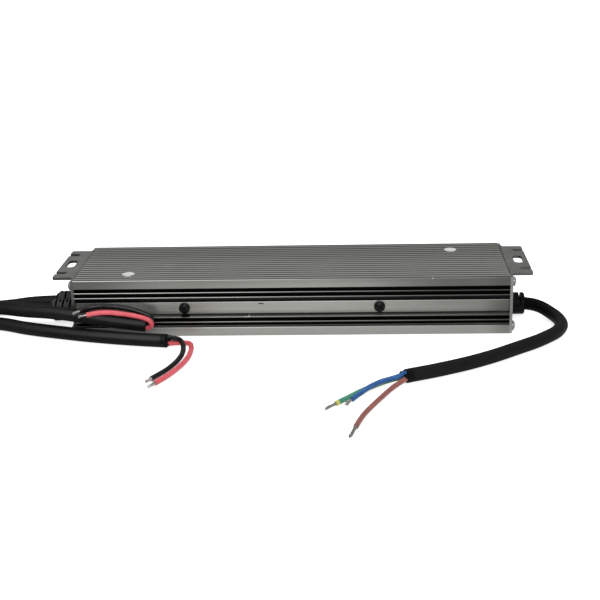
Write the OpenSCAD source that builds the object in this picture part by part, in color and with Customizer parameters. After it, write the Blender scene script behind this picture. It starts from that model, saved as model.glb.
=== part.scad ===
// Sealed power supply in a ribbed aluminium extrusion, with folded end plates, mounting
// ears, moulded strain reliefs and three loose cables. Millimetres, +Z up, ribbed mounting
// face on top, mains input end at +X.

/* [Housing] */
// Length of the extrusion
body_len = 242; // [230:1:300]
// Width of the extrusion
body_w = 68; // [66:0.5:84]
// Height of the extrusion
body_h = 33; // [32:0.5:42]
// Depth of the grooves in the long sides
side_depth = 5; // [3.5:0.1:5.5]
// Wall left behind the side grooves
side_wall = 1.7; // [1.2:0.1:2.5]
// Wall under the rib grooves
roof_t = 2.8; // [1.8:0.1:3.2]
// Floor of the housing
floor_t = 2; // [1.2:0.1:2.4]
// Rounding of the two lower long edges
foot_r = 0.8; // [0.2:0.1:1.5]

/* [Mounting face ribs] */
// Distance from rib to rib
rib_pitch = 3.84; // [3:0.02:6]
// Width of the groove between two ribs
rib_gap = 1.84; // [1:0.02:2.4]
// Height of the ribs
rib_h = 1.5; // [0.5:0.1:2]
// Least width of the lip at the edges of the ribbed face
lip_min = 0.4; // [0.3:0.1:1.5]

/* [Side fins] */
// Height of the plain band at the foot
low_band = 5.3; // [4.6:0.1:6]
// Height of the groove above the foot band
low_groove = 2.7; // [2:0.1:3.2]
// Thickness of the fins
fin_t = 0.65; // [0.5:0.05:1.2]
// Gap between the lowest fin and the ledge
low_gap = 2.2; // [1.2:0.1:2.4]
// Thickness of the ledge fin below the pad
ledge_t = 0.65; // [0.5:0.05:1.2]
// Height of the slot between the ledge and the pad
pad_slot = 0.9; // [0.3:0.1:1.2]
// How far the pad lies behind the outer plane
pad_recess = 3; // [2:0.1:3.4]
// Height of the groove above the pad
pad_groove = 3.2; // [2.4:0.1:3.6]
// Gap between the two upper fins
high_gap = 2.2; // [1.4:0.1:2.6]
// Height of the groove under the top band
high_groove = 2.3; // [1.4:0.1:2.6]
// Height of the plain band at the ribbed face
high_band = 4.8; // [4.6:0.1:6]

/* [End plates] */
// Thickness of the sheet
plate_t = 1.5; // [1:0.1:2]
// How far the sheet stays inside the extrusion's outline
plate_inset = 0.2; // [0:0.05:0.5]
// Inner radius of the bend into the ear
bend_r = 0.8; // [0.5:0.1:1.5]
// Width of the ear
ear_w = 53.4; // [50:0.2:54]
// Reach of the ear from the end of the extrusion
ear_reach = 13.3; // [12:0.1:18]
// Rounding of the ear's corners
ear_r = 1.5; // [0.5:0.1:2.5]
// Width of the relief notches beside the bend
relief_w = 0.8; // [0.4:0.1:1]
// Length of the closed slot in the ear
hole_len = 13.5; // [8:0.5:18]
// Width of the closed slot in the ear
hole_w = 5.2; // [3.5:0.1:6]
// Reach of the closed slot's centre line from the extrusion
hole_reach = 8; // [7:0.1:9]
// Distance between the two open slots of an ear
notch_gap = 36; // [28:0.5:42]
// Width of the open slots
notch_w = 3.8; // [3:0.1:5]
// Reach of the open slots' inner ends from the extrusion
notch_reach = 6.7; // [5:0.1:9]

/* [Fasteners] */
// Thread of all the screws
screw_d = 3; // [2.5:0.5:3]
// Clearance round a screw
screw_fit = 0.05; // [0.05:0.05:0.1]
// Head diameter of the end screws
end_head_d = 5.5; // [5:0.1:6]
// Head height of the end screws
end_head_h = 2; // [1.6:0.1:2.4]
// Length of the end screws under the head
end_screw_len = 8; // [6:1:12]
// Distance from an end screw to the side face
end_screw_side = 3.4; // [3.3:0.1:4]
// Height of the lower end screws
end_screw_low = 3.7; // [3.5:0.1:4]
// Distance from the upper end screws to the ribbed face
end_screw_high = 3.5; // [3.4:0.1:4]
// Wall round a screw port
port_wall = 0.9; // [0.6:0.1:1.2]
// Head diameter of the side screws
side_head_d = 6.2; // [5.5:0.1:6.5]
// Head height of the side screws
side_head_h = 2.2; // [1.8:0.1:2.6]
// Place of the side screw near the output end
side_screw_out = -59.6; // [-66:0.2:-56]
// Place of the side screw near the input end
side_screw_in = 49.4; // [46:0.2:52]
// Height of the side screws above the pad's lower edge
side_screw_up = 3.4; // [3.2:0.1:4.2]
// Diameter of the filling plugs
plug_d = 7; // [5:0.5:9]
// Distance of the plugs from the middle, along the body
plug_x = 92; // [86:1:100]
// Distance of the plugs from the middle, across the body
plug_y = 21; // [14:1:23]

/* [Strain reliefs] */
// Outer diameter of the strain reliefs
relief_d = 12.6; // [12:0.1:13.4]
// Length of the input strain relief outside the plate
input_relief_len = 10.3; // [9:0.1:14]
// Distance from the plate to the input strain relief's notch
input_notch = 7; // [5:0.1:7.5]
// Width of the input strain relief's notch
input_notch_w = 1.3; // [0.8:0.1:1.6]
// Length of the output strain reliefs outside the plate
output_relief_len = 19; // [18:0.1:26]
// Distance from the plate to the first output slot
slot_start = 6.3; // [4:0.1:6.5]
// Distance from slot to slot
slot_pitch = 2.05; // [1.8:0.05:2.2]
// Width of the output slots
slot_w = 1.2; // [0.8:0.05:1.3]
// Number of slots along an output strain relief
slot_count = 5; // [3:1:5]
// Wall that the slots leave round the cable
slot_core = 0.8; // [0.6:0.05:1.2]
// Width of the webs that join the rings
web_w = 4.4; // [3:0.1:5]
// Length of the sloping end of the output strain reliefs
nose_len = 2.3; // [1.5:0.1:3]
// Diameter of the necks in the end plates
neck_d = 9.4; // [9:0.1:9.8]
// Diameter of the lock rings behind the end plates
lock_d = 10.2; // [9.8:0.1:10.4]
// Thickness of the lock rings
lock_t = 1.6; // [1.2:0.1:2]
// Clearance of a neck or a cable in its hole
neck_fit = 0.1; // [0.05:0.05:0.2]

/* [Cables] */
// Diameter of the input cable
input_cable_d = 7.2; // [6:0.1:7.4]
// Diameter of the output cables
output_cable_d = 7.5; // [6.5:0.1:7.6]
// Diameter of the input cable's cores
input_core_d = 2.6; // [2:0.1:2.7]
// Diameter of the output cables' cores
output_core_d = 2.8; // [2.2:0.1:2.8]
// Diameter of the bare ends
bare_d = 1.5; // [1:0.1:1.8]
// Length of the bare ends
bare_len = 7; // [4:0.5:9]

/* [Inside] */
// Height of the circuit board above the floor of the housing
board_up = 3.3; // [2.6:0.1:3.5]
// Thickness of the circuit board
board_t = 1.6; // [1.2:0.1:2]
// Clearance of the board in its guide rails
board_fit = 0.1; // [0.05:0.05:0.2]
// Height of the guide rails
rail_t = 1; // [0.8:0.1:1.2]
// Reach of the guide rails from the side wall
rail_reach = 1.3; // [0.8:0.1:1.8]
// Thickness of the end seals
seal_t = 4; // [3:0.5:6]
// Clearance round the end seals
seal_fit = 0.1; // [0.05:0.05:0.3]
// Distance from an end seal to the circuit board
board_end_gap = 3; // [2:0.5:5]
// Thickness of the insulation sheet
sheet_t = 0.4; // [0.2:0.1:0.6]
// Thickness of the clamp bars
bar_t = 3; // [2.5:0.1:4]
// Length of the clamp bars
bar_len = 30; // [28:1:32]
// Height of the clamp bars
bar_h = 8; // [6:0.5:9]
// Distance from a side screw to the power parts beside it
power_pitch = 9; // [8:0.5:9.5]
// Thickness of the power parts
power_t = 4.6; // [4:0.1:5]
// Width of the power parts
power_w = 10.2; // [9:0.1:10.6]
// Height of the power parts
power_h = 15.8; // [14:0.1:16]
// Thickness of the insulation pads
pad_sheet_t = 0.3; // [0.2:0.05:0.5]
// Clearance between wound parts
wound_fit = 0.15; // [0.1:0.05:0.3]

/* [Parts on the board] */
// Diameter of the fuse's caps
fuse_d = 6; // [5:0.1:6.5]
// Length of the fuse
fuse_len = 20; // [18:0.5:22]
// Diameter of the surge varistor
varistor_d = 14; // [10:0.5:15]
// Thickness of the surge varistor
varistor_t = 4.4; // [3.6:0.1:5]
// Width of the filter choke's ring
filter_ring_w = 8; // [6:0.5:9]
// Thickness of the filter choke's windings
filter_wall = 1.6; // [1.2:0.1:1.8]
// Thickness of the filter capacitor
filter_cap_t = 8.5; // [6:0.5:10]
// Width of the filter capacitor
filter_cap_w = 18; // [14:0.5:22]
// Thickness of the bridge rectifier
bridge_t = 3.6; // [3.2:0.1:4]
// Width of the bridge rectifier
bridge_w = 22; // [20:0.5:24]
// Length of the boost choke
boost_len = 24; // [20:0.5:26]
// Width of the boost choke
boost_w = 24; // [22:0.5:26]
// Length of the bulk capacitors
bulk_len = 31; // [25:0.5:33]
// Length of the transformer
main_len = 34; // [30:0.5:36]
// Width of the transformer
main_w = 30; // [28:0.5:32]
// Diameter of the output capacitors
output_can_d = 10; // [8:0.5:10.5]
// Distance from one output capacitor to the next
output_can_pitch = 14; // [12:0.5:15]
// Width of the output choke's ring
output_ring_w = 9; // [7:0.5:10]
// Thickness of the output choke's winding
output_ring_wall = 1.8; // [1.4:0.1:2]
// Thickness of the control board
control_t = 1.2; // [0.8:0.1:1.6]

/* [Hidden] */

$fn = 48;
eps = 0.01;

alu = [0.50, 0.50, 0.47];
sheet_metal = [0.45, 0.45, 0.43];
steel = [0.80, 0.80, 0.78];
blackened = [0.08, 0.08, 0.08];
moulded = [0.06, 0.06, 0.07];
jacket = [0.07, 0.07, 0.08];
red_core = [0.86, 0.32, 0.38];
black_core = [0.08, 0.08, 0.08];

half_len = body_len / 2;
half_w = body_w / 2;
cav_half = half_w - side_depth - side_wall;
cav_top = body_h - rib_h - roof_t;
pad_low = low_band + low_groove + fin_t + low_gap + ledge_t + pad_slot;
pad_high = body_h - high_band - high_groove - high_gap - 2 * fin_t - pad_groove;
pad_y = half_w - pad_recess;
rib_count = floor((half_w - lip_min - rib_gap / 2) / rib_pitch + 0.5);
side_screw_z = pad_low + side_screw_up;
port_r = screw_d / 2 + screw_fit;
port_y = half_w - end_screw_side;
port_z = [end_screw_low, body_h - end_screw_high];
plate_face = half_len + plate_t;

input_y = -2.5;
input_z = 7.2;
output_near_y = -7.4;
output_far_y = 8.2;
output_z = 7.3;
input_exit = plate_face + input_relief_len;
output_exit = plate_face + output_relief_len;

board_z = floor_t + board_up;
board_top = board_z + board_t;
board_half_w = cav_half - board_fit;
seal_in = half_len - lock_t - board_fit;
board_half_len = seal_in - seal_t - board_end_gap;
power_y = cav_half - pad_sheet_t;
bar_y = power_y - power_t;
power_z = board_top + board_t;
side_screw_len = pad_y - bar_y + bar_t;

input_path = [[132.8, -2.5, 7.2], [139.8, -6.6, 7], [146.5, -13.8, 5.1], [150.4, -25, 3.7],
    [148.2, -36.6, 3.6], [138.2, -50.5, 3.6], [121, -66, 3.6], [101, -81.9, 3.6],
    [81, -94, 3.6], [61.2, -103.7, 3.6]];
cable_a_path = [[-141.5, 8.2, 7.3], [-156, 8.2, 6.6], [-171, 8.2, 4.8], [-188, 8.6, 3.75],
    [-206, 16, 3.75], [-228, 23, 3.75], [-248, 13, 3.75], [-256, -8, 3.75],
    [-246, -29, 3.75], [-225, -37, 3.75], [-204, -27.5, 3.75], [-187, -18, 3.75],
    [-168.5, -20.8, 3.75], [-150, -29.2, 3.75], [-130, -36.2, 3.75], [-108, -42.8, 3.75],
    [-87, -47.6, 3.75], [-67.3, -51, 3.75]];
cable_b_path = [[-141.5, -7.4, 7.3], [-156, -7.4, 7.8], [-173, -7.2, 9.6], [-189, -3, 11.3],
    [-200, 8, 11.4], [-213, 20, 11.4], [-236, 21.5, 11.4], [-253, 6, 11.4],
    [-254, -17, 11.4], [-238.5, -34, 11.4], [-218, -36, 11.4], [-202.5, -26, 11.4],
    [-185, -16, 11.6], [-170.5, -17, 12], [-152, -22.8, 12.1], [-136, -31.6, 14.1],
    [-122.5, -38.2, 14.9], [-101, -38.4, 11.1], [-80.8, -38.4, 8.2]];

blue_path = [[53, -110.4, 4.8], [45.5, -115.8, 4.3], [39.1, -123.4, 3.3], [34.2, -129.3, 2]];
earth_path = [[53.2, -104.8, 1.8], [43.1, -112.5, 1.3], [26.5, -132.4, 1.3]];
brown_path = [[53.3, -116.8, 2.1], [44.5, -134, 1.3], [36.1, -158.9, 1.3]];
a_black_path = [[-60.4, -52.6, 5.1], [-56.6, -63, 4], [-57.6, -74.5, 2.3],
    [-62.1, -86.6, 1.4], [-67.7, -98.8, 1.4]];
a_red_path = [[-61.5, -48.9, 1.8], [-55.4, -49.2, 1.4], [-53, -62, 1.4],
    [-54.2, -76, 1.4], [-58.6, -91, 1.4], [-65.4, -105.5, 1.4]];
b_black_path = [[-77, -38, 10], [-78.2, -37.7, 13], [-86, -37.3, 16.7],
    [-100.3, -37.2, 19.3], [-110.5, -37.8, 19.1], [-116.6, -41.4, 18.2]];
b_red_path = [[-77, -40.7, 8.6], [-77.4, -40.9, 12], [-86, -40.8, 14.8],
    [-101, -40.8, 16.9], [-112.6, -42.6, 16.2]];

// Placing
module along_x(x, length) {
    translate([x, 0, 0]) rotate([90, 0, 90]) linear_extrude(length) children();
}

module at_end(side) {
    rotate([0, 0, side > 0 ? 0 : 180]) children();
}

module at_side_screws() {
    for (x = [side_screw_out, side_screw_in])
        translate([x, 0, side_screw_z]) children();
}

// Housing
module cavity_outline(gap) {
    difference() {
        translate([-cav_half + gap, floor_t + gap])
            square([2 * (cav_half - gap), cav_top - floor_t - 2 * gap]);
        for (side = [-1, 1], z = [board_z - board_fit - rail_t, board_top + board_fit])
            translate([side * cav_half, z + rail_t / 2])
                square([2 * (rail_reach + gap), rail_t + 2 * gap], center = true);
    }
}

module side_groove(z0, z1, depth) {
    for (side = [-1, 1]) translate([side * half_w, (z0 + z1) / 2])
        square([2 * depth, z1 - z0], center = true);
}

module side_grooves() {
    fin_1 = low_band + low_groove;
    ledge = fin_1 + fin_t + low_gap;
    fin_3 = body_h - high_band - high_groove - fin_t;
    fin_2 = fin_3 - high_gap - fin_t;
    side_groove(low_band, fin_1, side_depth);
    side_groove(fin_1 + fin_t, ledge, side_depth);
    side_groove(ledge + ledge_t, pad_low, side_depth);
    side_groove(ledge + ledge_t, fin_2, pad_recess);
    side_groove(pad_high, fin_2, side_depth);
    side_groove(fin_2 + fin_t, fin_3, side_depth);
    side_groove(fin_3 + fin_t, body_h - high_band, side_depth);
}

module body_outline() {
    translate([-half_w, foot_r]) square([body_w, body_h - foot_r]);
    translate([-half_w + foot_r, 0]) square([body_w - 2 * foot_r, foot_r + eps]);
    for (side = [-1, 1]) translate([side * (half_w - foot_r), foot_r]) circle(foot_r);
}

module extrusion_profile() {
    difference() {
        union() {
            difference() {
                body_outline();
                side_grooves();
            }
            for (side = [-1, 1], z = port_z)
                translate([side * port_y, z]) circle(port_r + port_wall);
        }
        for (side = [-1, 1], z = port_z) translate([side * port_y, z]) circle(port_r);
        for (side = [-1, 1], i = [1:rib_count])
            translate([side * (i - 0.5) * rib_pitch, body_h])
                square([rib_gap, 2 * rib_h], center = true);
        cavity_outline(0);
    }
}

module housing() {
    color(alu) difference() {
        along_x(-half_len, body_len) extrusion_profile();
        at_side_screws() translate([0, -cav_half + eps, 0]) rotate([90, 0, 0])
            cylinder(h = side_depth + side_wall, r = port_r);
        at_plugs() translate([0, 0, cav_top - 1])
            cylinder(h = body_h, d = plug_d + 2 * seal_fit);
    }
}

module at_plugs() {
    for (side = [-1, 1]) translate([side * plug_x, side * plug_y, 0]) children();
}

module filling_plugs() {
    color(steel) at_plugs() translate([0, 0, cav_top])
        cylinder(h = body_h - cav_top, d = plug_d);
}

// End plates
module ear_outline() {
    start = plate_t + bend_r;
    difference() {
        union() {
            translate([start, -ear_w / 2]) square([ear_reach - ear_r - start, ear_w]);
            translate([start, -ear_w / 2 + ear_r])
                square([ear_reach - start, ear_w - 2 * ear_r]);
            for (side = [-1, 1])
                translate([ear_reach - ear_r, side * (ear_w / 2 - ear_r)]) circle(ear_r);
        }
        slot_outline(hole_reach, 0);
        for (side = [-1, 1]) translate([notch_reach + notch_w / 2, side * notch_gap / 2]) {
            circle(d = notch_w);
            translate([0, -notch_w / 2]) square([ear_reach, notch_w]);
        }
    }
}

module slot_outline(x, y) {
    straight = hole_len - hole_w;
    translate([x, y]) {
        square([hole_w, straight], center = true);
        for (side = [-1, 1]) translate([0, side * straight / 2]) circle(d = hole_w);
    }
}

module bend_outline() {
    outer = plate_t + bend_r;
    translate([outer, body_h - outer]) difference() {
        intersection() {
            circle(outer);
            translate([-outer, 0]) square(outer);
        }
        circle(bend_r);
    }
}

module plate_outline() {
    bend_z = body_h - plate_t - bend_r;
    difference() {
        translate([-half_w + plate_inset, plate_inset])
            square([body_w - 2 * plate_inset, body_h - 2 * plate_inset]);
        translate([-ear_w / 2 - relief_w, bend_z - relief_w])
            square([ear_w + 2 * relief_w, plate_t + bend_r + relief_w]);
        for (side = [-1, 1], z = port_z) translate([side * port_y, z]) circle(port_r);
    }
    translate([-ear_w / 2, bend_z - relief_w - eps]) square([ear_w, relief_w + eps]);
}

module end_plate(holes) {
    translate([half_len, 0, 0]) {
        difference() {
            along_x(0, plate_t) plate_outline();
            for (at = holes) translate([-1, at[0], at[1]]) rotate([0, 90, 0])
                cylinder(h = plate_t + 2, d = neck_d + 2 * neck_fit);
        }
        translate([0, ear_w / 2, 0]) rotate([90, 0, 0]) linear_extrude(ear_w) bend_outline();
        translate([0, 0, body_h - plate_t]) linear_extrude(plate_t) ear_outline();
    }
}

module input_end_plate() {
    color(sheet_metal) at_end(1) end_plate([[input_y, input_z]]);
}

module output_end_plate() {
    color(sheet_metal) at_end(-1)
        end_plate([[-output_near_y, output_z], [-output_far_y, output_z]]);
}

// Screws: the bearing face lies at z = 0 and the thread runs down
module pan_screw(head_d, head_h, length) {
    rim = 0.45 * head_h;
    dome = head_h - rim;
    dome_r = (head_d * head_d / 4 + dome * dome) / (2 * dome);
    cross_w = 0.28 * screw_d;
    cross_l = 0.56 * head_d;
    difference() {
        union() {
            cylinder(h = rim, d = head_d);
            intersection() {
                translate([0, 0, rim]) cylinder(h = dome, d = head_d);
                translate([0, 0, head_h - dome_r]) sphere(dome_r);
            }
            translate([0, 0, -length]) cylinder(h = length + rim / 2, d = screw_d);
        }
        for (turn = [0, 90]) rotate([0, 0, turn]) translate([0, 0, head_h])
            cube([cross_l, cross_w, 1.3 * head_h], center = true);
    }
}

module end_screws(side) {
    at_end(side) for (y = [-port_y, port_y], z = port_z) translate([plate_face, y, z])
        rotate([0, 90, 0]) pan_screw(end_head_d, end_head_h, end_screw_len);
}

module input_end_screws() {
    color(steel) end_screws(1);
}

module output_end_screws() {
    color(steel) end_screws(-1);
}

module side_clamp_screws() {
    color(blackened) at_side_screws() translate([0, -pad_y, 0]) rotate([90, 45, 0])
        pan_screw(side_head_d, side_head_h, side_screw_len);
}

// End seals
module end_seal(holes) {
    difference() {
        along_x(seal_in - seal_t, seal_t) cavity_outline(seal_fit);
        for (at = holes) translate([seal_in - seal_t - 1, at[0], at[1]]) rotate([0, 90, 0])
            cylinder(h = seal_t + 2, d = at[2] + 2 * neck_fit);
    }
}

module input_end_seal() {
    color("dimgray") at_end(1) end_seal([[input_y, input_z, input_cable_d]]);
}

module output_end_seal() {
    color("dimgray") at_end(-1) end_seal([[-output_near_y, output_z, output_cable_d],
        [-output_far_y, output_z, output_cable_d]]);
}

// Strain reliefs: the plate's outer face lies at z = 0 and the cable leaves upwards
module relief_body(length, cable_d, nose_d, nose) {
    bore = cable_d / 2 + neck_fit;
    rotate_extrude() polygon([[bore, -plate_t - lock_t], [lock_d / 2, -plate_t - lock_t],
        [lock_d / 2, -plate_t], [neck_d / 2, -plate_t], [neck_d / 2, 0], [relief_d / 2, 0],
        [relief_d / 2, length - nose], [nose_d / 2, length], [bore, length]]);
}

module relief_slot(width, core_d, turn) {
    rotate([0, 0, turn]) difference() {
        cylinder(h = width, d = relief_d + 2);
        translate([0, 0, -1]) cylinder(h = width + 2, d = core_d);
        translate([-relief_d, -web_w / 2, -1]) cube([2 * relief_d, web_w, width + 2]);
    }
}

module input_strain_relief() {
    core_d = input_cable_d + 2 * (neck_fit + slot_core);
    color(moulded) translate([plate_face, input_y, input_z]) rotate([0, 90, 0]) difference() {
        relief_body(input_relief_len, input_cable_d, relief_d - 1.2, 0.6);
        translate([0, 0, input_notch]) difference() {
            cylinder(h = input_notch_w, d = relief_d + 2);
            translate([relief_d / 4, 0, -1])
                cylinder(h = input_notch_w + 2, d = core_d + relief_d / 6);
        }
    }
}

module output_strain_relief(y, turn) {
    core_d = output_cable_d + 2 * (neck_fit + slot_core);
    translate([-plate_face, y, output_z]) rotate([0, -90, 0]) difference() {
        relief_body(output_relief_len, output_cable_d, core_d, nose_len);
        for (i = [0:slot_count - 1]) translate([0, 0, slot_start + i * slot_pitch])
            relief_slot(slot_w, core_d, turn + 90 * i);
    }
}

module output_strain_relief_near() {
    color(moulded) output_strain_relief(output_near_y, 45);
}

module output_strain_relief_far() {
    color(moulded) output_strain_relief(output_far_y, 135);
}

// A rod between two points
function unit(v) = v / norm(v);

module rod(p, q, r1, r2) {
    v = q - p;
    translate(p) rotate([0, acos(v[2] / norm(v)), atan2(v[1], v[0])])
        cylinder(h = norm(v), r1 = r1, r2 = r2);
}

// Cable tails in the strain reliefs, and their cores down to the board
tail_in = seal_in - seal_t - 1;

module lead_tail(y, z, exit, cable_d) {
    translate([tail_in, y, z]) rotate([0, 90, 0]) cylinder(h = exit - tail_in, d = cable_d);
}

// Each core is given as its place across and up in the cable and its place on the board
module lead_cores(y, z, core_d, cores) {
    top = board_top + 2 * core_d;
    foot = board_half_len - 4 * core_d;
    for (core = cores) tube([[tail_in, y + core[0], z + core[1]],
        [tail_in - 1.5, y + (core[0] + core[2]) / 2, z + core[1] + 1.8], [tail_in - 3.4, y + core[2], top],
        [foot + 1.5, y + core[2], top], [foot, y + core[2], top - 1.5],
        [foot, y + core[2], board_top]], core_d, 8, [-1, 0, 0], side_up);
}

module input_lead_tail() {
    color(jacket) lead_tail(input_y, input_z, input_exit, input_cable_d);
}

module input_lead_cores() {
    color("steelblue") lead_cores(input_y, input_z, input_core_d,
        [[-1.6, -0.9, -4.2], [0, 1.7, 0], [1.6, -0.9, 4.2]]);
}

module output_lead_tails() {
    color(jacket) at_end(-1) for (y = [-output_near_y, -output_far_y])
        lead_tail(y, output_z, output_exit, output_cable_d);
}

module output_lead_cores() {
    color(red_core) at_end(-1) for (y = [-output_near_y, -output_far_y])
        lead_cores(y, output_z, output_core_d, [[-1.6, 0, -2.2], [1.6, 0, 2.2]]);
}

// Circuit board and what stands on it
module circuit_board() {
    color("darkgreen") translate([-board_half_len, -board_half_w, board_z])
        cube([2 * board_half_len, 2 * board_half_w, board_t]);
}

module insulation_sheet() {
    wide = 2 * (cav_half - rail_reach);
    color("ivory") translate([-board_half_len, -wide / 2, floor_t])
        cube([2 * board_half_len, wide, sheet_t]);
}

// The parts stand in a row from the input end, with equal gaps
room = cav_top - board_top;
row = [fuse_d, filter_ring_w + 2 * (wound_fit + filter_wall), filter_cap_t, bridge_t,
    boost_len, bulk_len, main_len, output_can_pitch + output_can_d,
    output_ring_w + 2 * (wound_fit + output_ring_wall)];
row_start = board_half_len - 4.5 * input_core_d;
row_end = -board_half_len + 4.5 * output_core_d;

function row_sum(i) = i < 0 ? 0 : row[i] + row_sum(i - 1);
row_gap = (row_start - row_end - row_sum(len(row) - 1)) / (len(row) + 1);
function row_x(i) = row_start - row_sum(i - 1) - row[i] / 2 - (i + 1) * row_gap;

module fuse() {
    cap_len = fuse_len / 4;
    clip = fuse_d / 10;
    color("silver") translate([row_x(0), -board_half_w / 2, board_top + fuse_d / 2 + clip]) {
        rotate([90, 0, 0]) cylinder(h = fuse_len, d = 0.87 * fuse_d, center = true);
        for (side = [-1, 1]) translate([0, side * (fuse_len - cap_len) / 2, 0]) {
            rotate([90, 0, 0]) cylinder(h = cap_len, d = fuse_d, center = true);
            translate([-fuse_d / 4, -cap_len / 5, -fuse_d / 2 - clip])
                cube([fuse_d / 2, 0.4 * cap_len, fuse_d / 2]);
        }
    }
}

module surge_varistor() {
    foot = varistor_d / 7;
    color("royalblue") translate([row_x(0), board_half_w / 2, board_top + foot + varistor_d / 2]) {
        rotate([0, 90, 0]) cylinder(h = varistor_t, d = varistor_d, center = true);
        for (side = [-1, 1])
            translate([side * varistor_t / 4, side * varistor_d / 4, -varistor_d / 2 - foot])
                cylinder(h = varistor_d / 2, d = varistor_d / 17, $fn = 24);
    }
}

// Ring core standing on the board, with its axis along X
module ring_section(ring_d, hole_d, width, grow) {
    translate([hole_d / 2 - grow, -width / 2 - grow])
        square([(ring_d - hole_d) / 2 + 2 * grow, width + 2 * grow]);
}

module ring_core(ring_d, hole_d, width) {
    rotate([0, 90, 0]) rotate_extrude() ring_section(ring_d, hole_d, width, 0);
}

module ring_winding(ring_d, hole_d, width, wall, turns) {
    rotate([0, 90, 0]) for (turn = turns) rotate([0, 0, turn[0]]) rotate_extrude(angle = turn[1])
        difference() {
            ring_section(ring_d, hole_d, width, wound_fit + wall);
            ring_section(ring_d, hole_d, width, wound_fit);
        }
}

filter_ring_d = 0.69 * room;
filter_ring = [filter_ring_d, 0.53 * filter_ring_d, filter_ring_w];
filter_at = [row_x(1), 0, board_top + filter_ring_d / 2 + wound_fit + filter_wall];

module filter_choke_core() {
    color("olivedrab") translate(filter_at)
        ring_core(filter_ring[0], filter_ring[1], filter_ring[2]);
}

module filter_choke_windings() {
    color("peru") translate(filter_at)
        ring_winding(filter_ring[0], filter_ring[1], filter_ring[2], filter_wall,
            [[-70, 140], [110, 140]]);
}

module filter_capacitor() {
    color("gold") translate([row_x(2) - filter_cap_t / 2, -filter_cap_w / 2, board_top])
        cube([filter_cap_t, filter_cap_w, 0.66 * room]);
}

module bridge_rectifier() {
    high = 0.78 * room;
    foot = 0.07 * room;
    pin = bridge_t / 6;
    color("black") translate([row_x(3), bridge_w / 3, board_top + foot]) difference() {
        union() {
            translate([-bridge_t / 2, -bridge_w / 2, 0]) cube([bridge_t, bridge_w, high]);
            for (i = [-1.5:1.5]) translate([-pin / 2, 0.23 * i * bridge_w - pin, -foot])
                cube([pin, 2 * pin, 2 * foot]);
        }
        translate([0, 0, 0.77 * high]) rotate([0, 90, 0])
            cylinder(h = 2 * bridge_t, r = port_r, center = true);
    }
}

// Wound parts on a double E core, centre leg along X:
// length, width, height, back, centre leg, side leg, bobbin wall, winding
boost = [boost_len, boost_w, 0.37 * room, boost_len / 6, 0.3 * boost_w, 0.15 * boost_w,
    boost_w / 30, boost_w / 10];
main = [main_len, main_w, 0.46 * room, main_len / 7, 0.3 * main_w, 0.15 * main_w,
    room / 22, 0.145 * room];
boost_at = [row_x(4), boost_w / 4];
main_at = [row_x(6), 0];

function wound_z(p) = board_top + p[2] / 2 + wound_fit + 1.5 * p[6] + p[7];

module e_core(p, at) {
    window = (p[1] - p[4]) / 2 - p[5];
    translate([at[0], at[1], wound_z(p)]) difference() {
        cube([p[0], p[1], p[2]], center = true);
        for (side = [-1, 1]) translate([0, side * (p[4] + window) / 2, 0])
            cube([p[0] - 2 * p[3], window, p[2] + 2], center = true);
    }
}

module e_bobbin(p, at) {
    long = p[0] - 2 * p[3] - 2 * wound_fit;
    wide = p[1] - 2 * p[5] - 2 * wound_fit;
    inner = [long + 2, p[4] + 2 * wound_fit, p[2] + 2 * wound_fit];
    tall = inner[2] + 3 * p[6] + 2 * p[7];
    translate([at[0], at[1], wound_z(p)]) difference() {
        union() {
            cube([long, inner[1] + 2 * p[6], inner[2] + 2 * p[6]], center = true);
            for (side = [-1, 1]) translate([side * (long - p[6]) / 2, 0, 0])
                cube([p[6], wide, tall], center = true);
        }
        cube(inner, center = true);
    }
}

module e_winding(p, at) {
    long = p[0] - 2 * p[3] - 4 * wound_fit - 2 * p[6];
    inner = [long + 2, p[4] + 4 * wound_fit + 2 * p[6], p[2] + 4 * wound_fit + 2 * p[6]];
    deep = min(p[7], (p[1] - p[4]) / 2 - p[5] - p[6] - 3 * wound_fit);
    translate([at[0], at[1], wound_z(p)]) difference() {
        cube([long, inner[1] + 2 * deep, inner[2] + 2 * deep], center = true);
        cube(inner, center = true);
    }
}

module boost_choke_core() {
    color("dimgray") e_core(boost, boost_at);
}

module boost_choke_bobbin() {
    color("black") e_bobbin(boost, boost_at);
}

module boost_choke_winding() {
    color("peru") e_winding(boost, boost_at);
}

module transformer_core() {
    color("dimgray") e_core(main, main_at);
}

module transformer_bobbin() {
    color("black") e_bobbin(main, main_at);
}

module transformer_winding() {
    color("gold") e_winding(main, main_at);
}

module can(d, h) {
    bead = d / 20;
    rotate_extrude() polygon([[0, 0], [d / 2, 0], [d / 2, 3 * bead], [d / 2 - bead, 4 * bead],
        [d / 2, 5 * bead], [d / 2, h - bead], [d / 2 - bead, h], [0, h]]);
}

module bulk_capacitors() {
    d = 0.82 * room;
    color("midnightblue") for (side = [-1, 1])
        translate([row_x(5) - bulk_len / 2, side * (d / 2 + 2 * wound_fit), board_top + d / 2])
            rotate([0, 90, 0]) can(d, bulk_len);
}

module output_capacitors() {
    color("midnightblue") for (x = [-1, 1], y = [-1, 1])
        translate([row_x(7) + x * output_can_pitch / 2, y * output_can_pitch / 2, board_top])
            can(output_can_d, 0.82 * room);
}

// Power parts pressed against the front side wall
module power_parts(x) {
    pin = power_t / 8;
    for (side = [-1, 1]) translate([x + side * power_pitch, -power_y + power_t / 2, 0]) {
        translate([0, 0, power_z + power_h / 2]) cube([power_w, power_t, power_h], center = true);
        for (i = [-1:1]) translate([i * power_w / 4 - pin / 2, -pin / 2, board_top])
            cube([pin, pin, power_z - board_top + pin]);
    }
}

module power_transistors() {
    color("black") power_parts(side_screw_in);
}

module output_rectifiers() {
    color("black") power_parts(side_screw_out);
}

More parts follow.
